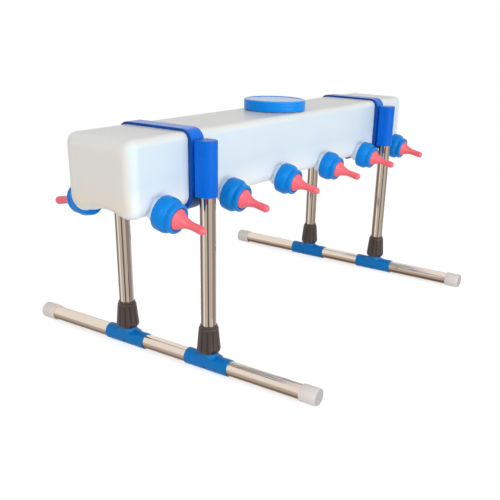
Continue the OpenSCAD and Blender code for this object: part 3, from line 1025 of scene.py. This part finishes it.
def collar_form(height, columns, levels):
    """A collar without its flutes, on levels up its slope and with some columns of points to each flute."""
    neck_z = height - COLLAR_RING_H
    foot_bevel = [(3 * MM, 0), (2.2 * MM, 0.6 * MM), (0.7 * MM, 3.2 * MM)]
    shoulder = 2 * MM
    lip_rise = 0.2 * MM
    edge = 0.9 * MM
    slope = [
        (
            COLLAR_LOW_R + (COLLAR_TOP_R - COLLAR_LOW_R) * step / levels,
            COLLAR_FOOT_H + (neck_z - COLLAR_FOOT_H) * step / levels,
        )
        for step in range(levels + 1)
    ]
    outline = [
        (COLLAR_BELL_R, 0),
        *[(COLLAR_LOW_R - inset, z) for inset, z in foot_bevel],
        *slope,
        *arc((COLLAR_TOP_R - shoulder, neck_z), shoulder, 15, 75, 5),
        (COLLAR_LIP_R, neck_z + shoulder + lip_rise),
        *arc((COLLAR_LIP_R - edge, height - edge), edge, 0, 90, 4),
        (COLLAR_BORE_R, height),
        (COLLAR_BORE_R, CHAMBER_TOP),
        (CHAMBER_R, CHAMBER_TOP),
        (CHAMBER_R, COLLAR_BELL_H),
        (COLLAR_BELL_R, COLLAR_BELL_H),
        (COLLAR_BELL_R, 0),
    ]
    return lathe("collar_model", outline, steps=FLUTES * columns)


def press_flutes(collar, height, columns, levels):
    """Presses flutes into a collar, to full depth in the middle column and less beside it and on top."""
    neck_z = height - COLLAR_RING_H
    foot = 0.5 * MM
    top = neck_z - 1.5 * MM
    fade = top - (neck_z - COLLAR_FOOT_H) / levels
    outside = COLLAR_TOP_R - 0.1 * MM

    def fluted(point, offsets, low, high):
        column = round(math.atan2(point.y, point.x) / math.tau * FLUTES * columns) % columns
        return math.hypot(point.x, point.y) > outside and column in offsets and low <= point.z < high

    for offsets, share in (((0,), 1.0), ((1, columns - 1), 0.68)):
        for low, high, part in ((foot, fade, 1.0), (fade, top, 0.72)):
            pick(collar, lambda point: fluted(point, offsets, low, high))
            keep = 1 - share * part * FLUTE_DEPTH / COLLAR_LOW_R
            bpy.ops.transform.resize(value=(keep, keep, 1), center_override=(0, 0, 0))
            bpy.ops.object.mode_set(mode="OBJECT")
    smooth(collar, FLUTE_SMOOTH)


def make_collars():
    """Tapered collars with flutes, a rounded shoulder and a narrow lip."""
    low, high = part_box("lock_collar_left_front")
    shape = {"height": high.z - low.z, "columns": 8, "levels": 14}
    model = collar_form(**shape)
    press_flutes(model, **shape)
    for leg in LEGS:
        node = f"lock_collar_{leg}"
        middle = box_middle(node)
        place = Matrix.Translation((middle.x, middle.y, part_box(node)[0].z))
        collar = copy_of(model, f"twist_collar_{leg}", place)
        place_piece(collar, f"collar_{leg}", node, "collar_plastic")
    bpy.data.objects.remove(model)


def foot_cap_form():
    """Round-edged end cap along +Z, open at its foot."""
    edge = 2.6 * MM
    mouth = 0.6 * MM
    outline = [
        (FOOT_CAP_BORE_R, 0),
        *arc((FOOT_CAP_R - mouth, mouth), mouth, -90, 0, 3),
        *arc((FOOT_CAP_R - edge, FOOT_CAP_LEN - edge), edge, 0, 80, 6),
        (0, FOOT_CAP_LEN),
        (0, FOOT_CAP_LEN - FOOT_CAP_END),
        (FOOT_CAP_BORE_R, FOOT_CAP_LEN - FOOT_CAP_END),
        (FOOT_CAP_BORE_R, 0),
    ]
    return lathe("foot_cap_model", outline, steps=64)


def make_feet():
    """A pair of end caps and two tees for each foot."""
    model = foot_cap_form()
    for end in ENDS:
        node = f"foot_caps_{end}"
        middle = box_middle(node)
        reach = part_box(node)[1].y
        caps = []
        for side, way in zip(SIDES, (-1, 1)):
            outward = Vector((0, way, 0))
            foot = Vector((middle.x, way * reach, middle.z)) - outward * FOOT_CAP_LEN
            caps.append(copy_of(model, f"foot_cap_{end}_{side}", aimed(foot, outward)))
        pair = joined(caps)
        pair.name = f"end_caps_{end}"
        place_piece(pair, f"{end}_foot", node, "end_cap_white")
        for side in SIDES:
            leg = f"{end}_{side}"
            tee = softened(f"foot_tee_{leg}", f"tube_tee_{leg}", TEE_ROUND)
            place_piece(tee, f"{end}_foot", f"foot_tee_{leg}", "tee_blue")
    bpy.data.objects.remove(model)


def cross_head_screw(name):
    """Screw along +Z from the foot tube's axis, with a low domed head and a cross recess."""
    tip = 8.3 * MM
    tip_r = 0.5 * MM
    taper = 1.2 * MM
    shank_r = 1.5 * MM
    head_r = 2.5 * MM
    seat = TEE_R - 0.9 * MM
    rim = TEE_R - 0.25 * MM
    rim_round = 0.3 * MM
    dome = 0.2 * MM
    recess_len = 3.2 * MM
    recess_w = 0.8 * MM
    recess_h = 1.6 * MM
    outline = [
        (0, tip),
        (tip_r, tip),
        (shank_r, tip + taper),
        (shank_r, seat),
        (head_r, seat),
        *arc((head_r - rim_round, rim), rim_round, 0, 60, 3),
        (head_r / 2, TEE_R + 0.75 * dome),
        (0, TEE_R + dome),
    ]
    screw = lathe(name, outline, steps=32)
    for size in ((recess_len, recess_w, recess_h), (recess_w, recess_len, recess_h)):
        bar = start("recess", bpy.ops.mesh.primitive_cube_add, size=1, location=(0, 0, TEE_R), scale=size)
        bpy.ops.object.transform_apply(location=True, rotation=False, scale=True)
        combine(screw, bar, "DIFFERENCE")
    smooth(screw)
    return screw


def make_screws():
    """Cross-head screws in the outer faces of the tees."""
    model = cross_head_screw("screw_model")
    for end, way in zip(ENDS, (-1, 1)):
        outward = Vector((way * math.cos(SCREW_DROOP), 0, -math.sin(SCREW_DROOP)))
        foot = box_middle(f"foot_tube_{end}")
        screws = []
        for side in SIDES:
            tube = box_middle(f"inner_tube_{end}_{side}")
            place = aimed(Vector((tube.x, tube.y, foot.z)), outward)
            screws.append(copy_of(model, f"screw_{end}_{side}", place))
        pair = joined(screws)
        pair.name = f"cross_head_screws_{end}"
        # The screws take steel painted dark as the shade of a screw hole
        place_piece(pair, f"{end}_foot", f"tee_screws_{end}", "fastener_steel", finish="screw_hole_shade_steel")
    bpy.data.objects.remove(model)


def chamfered_hexagon(name, low, high):
    """Hexagon of a bolt head or nut between two heights, with its corners turned off at both ends."""
    corner_r = 5.4 * MM
    flat_r = 4.9 * MM
    chamfer = 0.5 * MM
    block = start(
        name,
        bpy.ops.mesh.primitive_cylinder_add,
        vertices=6,
        radius=corner_r,
        depth=high - low,
        location=(0, 0, (high + low) / 2),
    )
    bpy.ops.object.transform_apply(location=True, rotation=False, scale=False)
    turned = [
        (0, low),
        (flat_r, low),
        (corner_r, low + chamfer),
        (corner_r, high - chamfer),
        (flat_r, high),
        (0, high),
    ]
    combine(block, lathe("turned", turned, steps=48), "INTERSECT")
    return block


def bolt_and_nut():
    """Bolt along +Z through the origin, with its head above and its nut below."""
    grip = 7 * MM
    head_h = 4 * MM
    tail = 2 * MM
    shank_r = 3 * MM
    bevel = 0.6 * MM
    nut_foot = -grip - head_h
    foot = nut_foot - tail
    top = grip + head_h
    outline = [(0, foot), (shank_r - bevel, foot), (shank_r, foot + bevel), (shank_r, top), (0, top)]
    shank = lathe("shank", outline, steps=32)
    head = chamfered_hexagon("head", grip, top)
    nut = chamfered_hexagon("nut", nut_foot, -grip)
    bolt = joined([shank, head, nut])
    smooth(bolt)
    return bolt


def make_clamp_bolts():
    """The bolt and nut that close each strap under the tank."""
    model = bolt_and_nut()
    height = box_middle("clamp_bolts").z
    bolts = []
    for end in ENDS:
        place = Matrix.Translation((box_middle(f"strap_{end}").x, 0, height))
        bolts.append(copy_of(model, f"bolt_{end}", place @ Matrix.Rotation(math.pi / 2, 4, "X")))
    bpy.data.objects.remove(model)
    pair = joined(bolts)
    pair.name = "clamp_bolts_and_nuts"
    place_piece(pair, "tank", "clamp_bolts", "fastener_steel")


def finish_plain_nodes():
    """Pieces that keep their own form and take a finish."""
    kept = {"lid_gasket": "seal_rubber"}
    for end in ENDS:
        kept[f"foot_tube_{end}"] = "foot_tube"
    for leg in LEGS:
        kept[f"leg_tube_{leg}"] = "upright_tube"
        kept[f"inner_tube_{leg}"] = "upright_tube"
        kept[f"leg_ferrule_{leg}"] = "ferrule_plastic"
    for node, finish in kept.items():
        frame["nodes"][node].material_slots[0].material = MATERIALS[finish]


# Stage


def make_floor():
    """Pale floor: it keeps the shadow, lets the room and lowered feet through and is grey in metal."""
    floor = start("floor", bpy.ops.mesh.primitive_plane_add, size=FLOOR_SIZE)
    material, tree = blank_material("pale_floor")
    path = wire(tree, "ShaderNodeLightPath", {}).outputs
    matte = wire(tree, "ShaderNodeBsdfDiffuse", {"Color": grey(FLOOR_MATTE)}).outputs[0]
    shaded = wire(tree, "ShaderNodeBsdfDiffuse", {"Color": grey(FLOOR_SEEN)}).outputs[0]
    clear = wire(tree, "ShaderNodeBsdfTransparent", {"Color": grey(FLOOR_LIFT)}).outputs[0]
    room = wire(tree, "ShaderNodeBsdfTransparent", {"Color": grey(1)}).outputs[0]
    in_metal = wire(tree, "ShaderNodeEmission", {"Color": FLOOR_IN_METAL}).outputs[0]
    away = wire(tree, "ShaderNodeVectorMath", {0: object_place(tree)}, operation="LENGTH").outputs["Value"]
    near = wire(tree, "ShaderNodeAddShader", {0: shaded, 1: clear}).outputs[0]
    seen = mixed_shader(tree, ramp(tree, away, *FLOOR_FADE), near, room)
    shown = mixed_shader(tree, path["Is Camera Ray"], matte, seen)
    shown = mixed_shader(tree, path["Is Glossy Ray"], shown, in_metal)
    wire(tree, "ShaderNodeOutputMaterial", {"Surface": shown})
    floor.data.materials.append(material)


def make_backdrop():
    """A grey wall far behind the feeder, which shows in polished tubes and on glossy tops alone."""
    behind = Matrix.Rotation(FACING + math.pi, 3, "Z")
    corners = [
        (WALL_AWAY, -WALL_HALF_W, WALL_FOOT),
        (WALL_AWAY, WALL_HALF_W, WALL_FOOT),
        (WALL_AWAY, WALL_HALF_W, WALL_TOP),
        (WALL_AWAY, -WALL_HALF_W, WALL_TOP),
    ]
    wall = drawn_face("grey_wall", [tuple(behind @ Vector(corner)) for corner in corners])
    bpy.ops.object.mode_set(mode="OBJECT")
    material, tree = blank_material("grey_wall")
    glow = wire(tree, "ShaderNodeEmission", {"Color": grey(WALL_GREY)}).outputs[0]
    wire(tree, "ShaderNodeOutputMaterial", {"Surface": glow})
    wall.data.materials.append(material)
    wall.visible_camera = False
    wall.visible_diffuse = False
    wall.visible_transmission = False
    wall.visible_shadow = False


def make_world():
    """A white room to the camera, in reflections and through clear pieces, and softer as a light."""
    world = bpy.data.worlds.new("white_room")
    bpy.context.scene.world = world
    world.use_nodes = True
    tree = world.node_tree
    tree.nodes.clear()
    path = wire(tree, "ShaderNodeLightPath", {}).outputs
    seen = worked(tree, "MAXIMUM", path["Is Camera Ray"], path["Is Glossy Ray"])
    seen = worked(tree, "MAXIMUM", seen, path["Is Transmission Ray"])
    soft = wire(tree, "ShaderNodeBackground", {"Color": ROOM_LIGHT, "Strength": ROOM_STRENGTH}).outputs[0]
    white = wire(tree, "ShaderNodeBackground", {"Color": grey(1), "Strength": 1.0}).outputs[0]
    wire(tree, "ShaderNodeOutputWorld", {"Surface": mixed_shader(tree, seen, soft, white)})


def soft_lamp(name, place, size, power):
    data = bpy.data.lights.new(name, "AREA")
    data.shape = "RECTANGLE"
    data.size, data.size_y = size
    data.energy = power
    lamp = bpy.data.objects.new(name, data)
    bpy.context.collection.objects.link(lamp)
    lamp.location = place
    lamp.rotation_mode = "QUATERNION"
    lamp.rotation_quaternion = (Vector(LAMP_AIM) - Vector(place)).to_track_quat("-Z", "Y")
    lamp.visible_camera = False


def make_lamps():
    soft_lamp("key_lamp", place=(-0.6, -3.0, 1.4), size=(2.6, 2.0), power=36)
    soft_lamp("low_lamp", place=(-0.5, -2.6, 0.2), size=(2.8, 0.4), power=16)
    soft_lamp("small_lamp", place=(-2.2, -1.7, 1.9), size=(0.35, 0.35), power=7)
    soft_lamp("end_lamp", place=(-3.2, -0.4, 1.5), size=(1.6, 1.6), power=23)
    soft_lamp("back_lamp", place=(2.6, 1.6, 1.5), size=(3.2, 1.4), power=10)


def make_camera():
    data = bpy.data.cameras.new("photo_camera")
    data.lens = CAMERA_LENS
    data.sensor_width = CAMERA_SENSOR
    data.shift_x, data.shift_y = CAMERA_SHIFT
    camera = bpy.data.objects.new("photo_camera", data)
    bpy.context.collection.objects.link(camera)
    camera.location = CAMERA_PLACE
    sight = Vector(CAMERA_AIM) - Vector(CAMERA_PLACE)
    camera.rotation_mode = "QUATERNION"
    camera.rotation_quaternion = sight.to_track_quat("-Z", "Y") @ Quaternion(UP, CAMERA_ROLL)
    bpy.context.scene.camera = camera


make_tank()
make_lid()
make_caps()
make_teats()
make_straps_and_sockets()
make_collars()
make_feet()
make_screws()
make_clamp_bolts()
finish_plain_nodes()
make_floor()
make_backdrop()
make_world()
make_lamps()
make_camera()
bpy.context.scene.view_settings.view_transform = "Standard"
